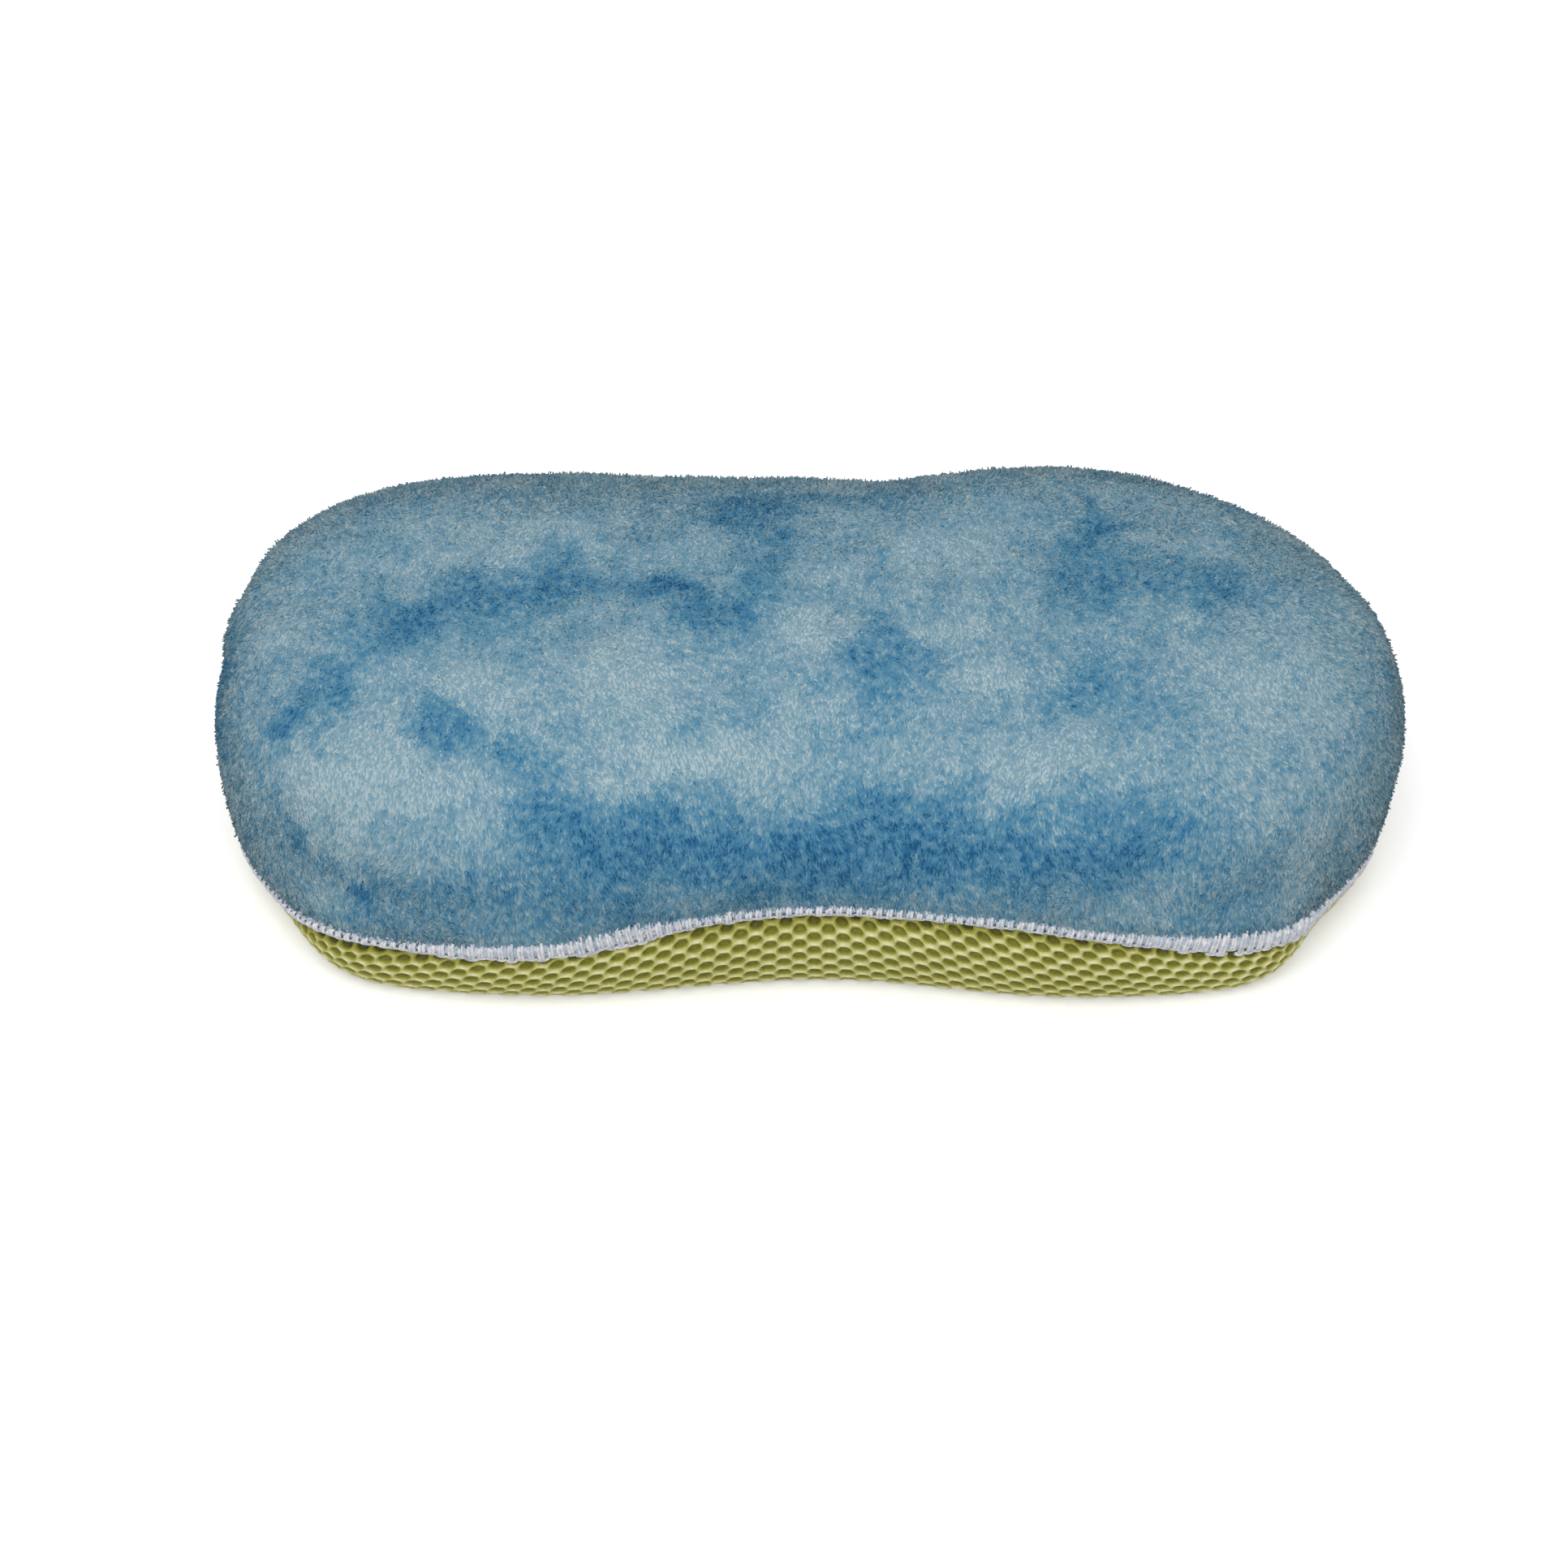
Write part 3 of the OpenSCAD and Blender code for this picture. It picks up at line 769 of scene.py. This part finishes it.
faced = add(pile_tree, "GeometryNodeStoreNamedAttribute", {
    "Geometry": toned, "Name": "facing", "Value": straight_out}, data_type="FLOAT_VECTOR", domain="INSTANCE")
pile = add(pile_tree, "GeometryNodeRealizeInstances", {"Geometry": faced})
end_tree(pile_tree, given, pile)

# Coral fleece, piece-dyed blue and brushed: a matt grey-blue bloom where the fibre tips lie over, and a deep
# clean blue towards the roots and on the ground, partly the fibre's own deeper colour and partly painted
# shade, since the tufts cast none.
mottle_size = 1.8 * mm
fleece, tree, shader = new_material("coral_fleece")
dark = add(tree, "ShaderNodeAttribute", attribute_name="nap").outputs["Fac"]
tip = add(tree, "ShaderNodeAttribute", attribute_name="tip").outputs["Fac"]
tone = add(tree, "ShaderNodeAttribute", attribute_name="tone").outputs["Fac"]
spot = add(tree, "ShaderNodeTexCoord").outputs["Object"]
mottle = add(tree, "ShaderNodeTexNoise", {"Vector": spot, "Scale": 1 / mottle_size, "Detail": 3})
mottle_strength = add(tree, "ShaderNodeMath", (dark, 0.9, 0.6), operation="MULTIPLY_ADD")
shade = add(tree, "ShaderNodeMath", (dark, 0.8), operation="MULTIPLY")
for pattern, strength in ((tone, 0.4), (mottle, mottle_strength)):
    centred = add(tree, "ShaderNodeMath", (pattern, 0.5), operation="SUBTRACT")
    shade = add(tree, "ShaderNodeMath", (centred, strength, shade), operation="MULTIPLY_ADD")
bloom = add(tree, "ShaderNodeValToRGB", (shade,), stops=(
    (0.03, "#b4c6ca"), (0.28, "#92aeb8"), (0.52, "#6493aa"), (0.8, "#3f7da3"), (1, "#225a82")))
root_colour_and_shade = add(tree, "ShaderNodeValToRGB", (shade,), stops=(
    (0, "#7b9bab"), (0.4, "#51849f"), (0.8, "#2a6690"), (1, "#1b4b71")))
# Painted shade in part: towards the root the colour turns to the darker ramp.
to_tip = add(tree, "ShaderNodeMath", (tip, 0.6), operation="POWER")
fibre = add(tree, "ShaderNodeMix", {"Factor": to_tip, "A": root_colour_and_shade, "B": bloom}, data_type="RGBA")
tree.links.new(fibre.outputs["Result"], shader.inputs["Base Color"])
shader.inputs["Roughness"].default_value = 0.9
shader.inputs["Specular IOR Level"].default_value = 0.15

cloth_share = 0.75


def shade_as_cloth(piece):
    """Light passes through the fine pile, so a tuft is shaded mostly as the cloth under it is."""
    mesh = piece.data
    facing = np.empty(3 * len(mesh.vertices), np.float32)
    mesh.attributes["facing"].data.foreach_get("vector", facing)
    own = np.empty(3 * len(mesh.vertices), np.float32)
    mesh.vertex_normals.foreach_get("vector", own)
    mixed = (cloth_share * facing + (1 - cloth_share) * own).reshape(-1, 3)
    mixed /= np.linalg.norm(mixed, axis=1, keepdims=True)
    mesh.normals_split_custom_set_from_vertices(mixed)
    piece.visible_shadow = False
    piece.visible_diffuse = False


for number, (name, quarter) in enumerate((
        ("plush_pile_right_back", (1, 1, 0)), ("plush_pile_left_back", (-1, 1, 0)),
        ("plush_pile_right_front", (1, -1, 0)), ("plush_pile_left_front", (-1, -1, 0)))):
    pile_piece = grown(name, ground, pile_tree, {
        "Tufts per area": TUFTS_PER_AREA, "Length": tuft_length, "Width": tuft_width, "Clump": clump_size,
        "Quarter": quarter, "Seed": number, "Tuft": tuft, "Finish": fleece})
    shade_as_cloth(pile_piece)
    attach(pile_piece, "root")
    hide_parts("fleece_cover")
bpy.data.objects.remove(tuft)
ground.data.materials.append(fleece)
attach(ground, "root")
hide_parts("fleece_cover")

# Overlock seam: three white polyester threads that bind the raw edges of both covers round the
# side. At each stitch two strands cross the band as a bar, and the lower looper thread lies in a
# chain along its foot.
stitch_pitch = 2 * mm
band_height = 3.6 * mm
thread_radius = 0.4 * mm
thread_depth = 0.3 * mm
seam_points = 720
LEAST_STITCH = (1, 0.9, 1)
MOST_STITCH = (1, 1.15, 1)

# Share of the full height that the band shows along the front, from its left end to its right, in
# millimetres: it is sunk in the pile at the waist and at the left, and stands tall on both lobes.
FRONT_BAND = ((-125, 0.3), (-78, 0.35), (-64, 0.9), (-45, 1), (-32, 1.2), (-22, 0.75), (-8, 0.45),
              (40, 0.45), (62, 0.5), (76, 1), (104, 1.15), (125, 0.9))
BACK_BAND = 0.8


def band_share(share):
    """Share of the band's full height at a place round the pad."""
    u, v = outline_at(share)
    front = front_share(v * side_width)
    knots = np.array(FRONT_BAND)
    return front * np.interp(u * half_length / mm, knots[:, 0], knots[:, 1]) + (1 - front) * BACK_BAND


def thread(points, radius, sides=5):
    """Points and faces of a thread along a line of points."""
    points = np.array(points, float)
    ways = np.gradient(points, axis=0)
    ways /= np.linalg.norm(ways, axis=1, keepdims=True)
    side = np.cross(ways, (0.3, 0.2, 1))
    side /= np.linalg.norm(side, axis=1, keepdims=True)
    over = np.cross(side, ways)
    a = np.linspace(0, 2 * np.pi, sides, endpoint=False)[:, None]
    rings = points[:, None] + radius * (np.cos(a) * side[:, None] + np.sin(a) * over[:, None])
    faces = []
    for k in range(len(points) - 1):
        for i in range(sides):
            j = (i + 1) % sides
            faces.append([k * sides + i, (k + 1) * sides + i, (k + 1) * sides + j, k * sides + j])
    faces.append(list(range(sides)))
    faces.append([(len(points) - 1) * sides + i for i in range(sides)][::-1])
    return rings.reshape(-1, 3), faces


def stitch():
    """One stitch: two strands laid side by side as a bar over the band, and a link of the chain."""
    low, top, p, r = -band_height / 2, band_height / 2, stitch_pitch, thread_radius
    parts = []
    for x, reach in ((-0.18 * p, 0.85), (0.14 * p, 1.15)):
        parts.append(thread([(x, low, -0.6 * r), (x, 0.75 * low, 0.8 * r),
                             (x + 0.1 * r, 0.6 * top, 0.9 * r), (x + 0.5 * r, top * reach, -0.8 * r)], r))
    parts.append(thread([(-0.6 * p, low, 0), (-0.2 * p, low - 0.4 * r, 0.5 * r),
                         (0.2 * p, low - 0.4 * r, 0.5 * r), (0.6 * p, low, 0)], r * 0.8))
    points, faces = [], []
    for part_points, part_faces in parts:
        start = sum(len(p) for p in points)
        faces += [[start + i for i in face] for face in part_faces]
        points.append(part_points)
    mesh = bpy.data.meshes.new("stitch")
    mesh.from_pydata(np.concatenate(points).tolist(), [], faces)
    mark(mesh, "raised", np.ones(len(mesh.vertices)))
    return mesh


seam_shares = np.linspace(0, 1, seam_points, endpoint=False)
seam_line = cover_point(seam_shares, seam_climb(seam_shares), thread_depth)
seam_above = cover_point(seam_shares, seam_climb(seam_shares, 1.5 * mm), thread_depth)
seam_along = np.roll(seam_line, -1, 0) - np.roll(seam_line, 1, 0)
seam_out = np.cross(seam_along, seam_above - seam_line)
seam_out /= np.linalg.norm(seam_out, axis=1, keepdims=True)
seam_mesh = bpy.data.meshes.new("seam_path")
seam_mesh.from_pydata(seam_line.tolist(), [(i, (i + 1) % seam_points) for i in range(seam_points)], [])
outwards = seam_mesh.attributes.new("outwards", "FLOAT_VECTOR", "POINT")
outwards.data.foreach_set("vector", seam_out.ravel())
mark(seam_mesh, "tall", band_share(seam_shares))
seam_path = place_in_scene("seam_path", seam_mesh)
stitch_pattern = place_in_scene("stitch_pattern", stitch())

# The seam's tree sews stitches along the path, each turned out from the pad and a little uneven.
seam_tree, given = new_tree("overlock", {
    "Pitch": "Float", "Unevenness": "Float", "Seed": "Int", "Stitch": "Object", "Finish": "Material"})
path = add(seam_tree, "GeometryNodeMeshToCurve", {"Mesh": given["Geometry"]})
spaced = add(seam_tree, "GeometryNodeResampleCurve", {
    "Curve": path, "Length": given["Pitch"]}, mode="LENGTH")
out_way = add(seam_tree, "GeometryNodeInputNamedAttribute", {"Name": "outwards"}, data_type="FLOAT_VECTOR")
along_way = add(seam_tree, "GeometryNodeInputTangent")
turned = add(seam_tree, "FunctionNodeAxesToRotation", {
    "Primary Axis": out_way, "Secondary Axis": along_way}, primary_axis="Z", secondary_axis="X")
least = add(seam_tree, "ShaderNodeVectorMath", (LEAST_STITCH, given["Unevenness"]), operation="SUBTRACT")
most = add(seam_tree, "ShaderNodeVectorMath", (MOST_STITCH, given["Unevenness"]), operation="ADD")
uneven = add(seam_tree, "FunctionNodeRandomValue", {
    "Min": least, "Max": most, "Seed": given["Seed"]}, data_type="FLOAT_VECTOR")
tall_here = add(seam_tree, "GeometryNodeInputNamedAttribute", {"Name": "tall"}, data_type="FLOAT")
stretch = add(seam_tree, "ShaderNodeCombineXYZ", (1, tall_here, 1))
size = add(seam_tree, "ShaderNodeVectorMath", (uneven, stretch), operation="MULTIPLY")
one_stitch = add(seam_tree, "GeometryNodeObjectInfo", {"Object": given["Stitch"]}).outputs["Geometry"]
sewn = add(seam_tree, "GeometryNodeInstanceOnPoints", {
    "Points": spaced, "Instance": one_stitch, "Rotation": turned, "Scale": size})
joined = add(seam_tree, "GeometryNodeRealizeInstances", {"Geometry": sewn})
end_tree(seam_tree, given, joined)

# Spun polyester thread, bleached: lilac white and matt; where it lies down between the bars it is drawn
# greyer as painted shade.
twist_size = 1.1 * mm
spun_thread, tree, shader = new_material("white_polyester_thread")
spot = add(tree, "ShaderNodeTexCoord").outputs["Object"]
raised = add(tree, "ShaderNodeAttribute", attribute_name="raised").outputs["Fac"]
twist = add(tree, "ShaderNodeTexNoise", {"Vector": spot, "Scale": 1 / twist_size, "Detail": 2})
# Painted shade: the binding, which lies lower, is drawn greyer than the raised stitches.
binding_shade = add(tree, "ShaderNodeMath", (raised, 1), operation="SUBTRACT")
lit = add(tree, "ShaderNodeMath", (binding_shade, 0.15, twist), operation="MULTIPLY_ADD")
colour = add(tree, "ShaderNodeValToRGB", (lit,), stops=(
    (0.1, "#9aa9ba"), (0.4, "#bdc4cd"), (0.6, "#dcdade"), (0.8, "#f1ebe9")))
tree.links.new(colour.outputs["Color"], shader.inputs["Base Color"])
shader.inputs["Roughness"].default_value = 0.8

seam_thread = grown("overlock_thread", seam_path, seam_tree, {
    "Pitch": stitch_pitch, "Unevenness": 0.18, "Seed": 4, "Stitch": stitch_pattern, "Finish": spun_thread})
bpy.data.objects.remove(seam_path)
bpy.data.objects.remove(stitch_pattern)
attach(seam_thread, "root")
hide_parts("overlock_seam")

# The needle threads and the bound edges lie flat under the bars, as a band round the whole side:
# its section, as shares of half its height and millimetres in. It is sunk where the band is low.
BAND_SECTION = ((-1.2, 1.6), (-1.2, 0.5), (-0.8, 0.1), (0, 0), (0.7, 0.1), (1, 0.4), (1, 1.6))
binding_share = 0.42
binding_sink = 0.45 * mm
half_band = binding_share * band_height * band_share(seam_shares)
sunk = binding_sink * np.clip(1.6 - 2 * band_share(seam_shares), 0, 1)
binding_rings = [cover_point(seam_shares, seam_climb(seam_shares, part * half_band), depth * mm + sunk)
                 for part, depth in BAND_SECTION]
binding = place_in_scene("overlock_binding", skin("overlock_binding", binding_rings + binding_rings[:1]))
binding.data.materials.append(spun_thread)
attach(binding, "root")
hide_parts("overlock_seam")

# Studio: a white floor that keeps the soft shadow, a broad lamp over the camera and an even surround.
floor_size = 6
floor_lift = 0.32
surround_level = 0.57
floor_material, tree, shader = new_material("white_floor")
seen = add(tree, "ShaderNodeLightPath").outputs
lift = add(tree, "ShaderNodeMath", (seen["Is Camera Ray"], floor_lift), operation="MULTIPLY")
tree.links.new(lift.outputs["Value"], shader.inputs["Emission Strength"])
shader.inputs["Base Color"].default_value = (0.9, 0.9, 0.9, 1)
shader.inputs["Roughness"].default_value = 1
shader.inputs["Emission Color"].default_value = (1, 1, 1, 1)
floor_mesh = bpy.data.meshes.new("floor")
floor_mesh.from_pydata([(x * floor_size, y * floor_size, 0) for x, y in ((-1, -1), (1, -1), (1, 1), (-1, 1))],
                       [], [(0, 1, 2, 3)])
floor = place_in_scene("floor", floor_mesh)
floor.data.materials.append(floor_material)

surround = bpy.data.worlds.new("surround")
surround.use_nodes = True
bpy.context.scene.world = surround
tree = surround.node_tree
seen = add(tree, "ShaderNodeLightPath").outputs
shown = seen["Is Camera Ray"]
for other in (seen["Is Glossy Ray"], seen["Is Transmission Ray"], surround_level):
    shown = add(tree, "ShaderNodeMath", (shown, other), operation="MAXIMUM")
tree.nodes["Background"].inputs["Color"].default_value = (1, 1, 1, 1)
tree.links.new(shown.outputs["Value"], tree.nodes["Background"].inputs["Strength"])

lamp_data = bpy.data.lights.new("soft_lamp", "AREA")
lamp_data.size = 0.9
lamp_data.energy = 9.8
lamp = bpy.data.objects.new("soft_lamp", lamp_data)
bpy.context.scene.collection.objects.link(lamp)
lamp.location = (-0.1, -0.6, 1.2)
lamp.rotation_euler = (Vector((0, 0, 0.03)) - lamp.location).to_track_quat("-Z", "Y").to_euler()

# Camera: a long lens from in front and above, a little to the right of the pad's middle.
frame_size = 1932
camera_distance = 0.9
camera_rise = np.radians(42)
camera_turn = np.radians(0.9)
pad_middle_in_frame = (991, 870)
camera_data = bpy.data.cameras.new("camera")
camera_data.sensor_width = 36
camera_data.lens = 100.4
camera_data.shift_x = (frame_size / 2 - pad_middle_in_frame[0]) / frame_size
camera_data.shift_y = (pad_middle_in_frame[1] - frame_size / 2) / frame_size
camera = bpy.data.objects.new("camera", camera_data)
bpy.context.scene.collection.objects.link(camera)
aim = Vector((0, 0, pad_height / 2))
camera_way = Vector((np.cos(camera_rise) * np.sin(camera_turn), -np.cos(camera_rise) * np.cos(camera_turn),
                     np.sin(camera_rise)))
camera.location = aim + camera_distance * camera_way
camera.rotation_euler = (aim - camera.location).to_track_quat("-Z", "Y").to_euler()
bpy.context.scene.camera = camera
bpy.context.scene.view_settings.view_transform = "Standard"
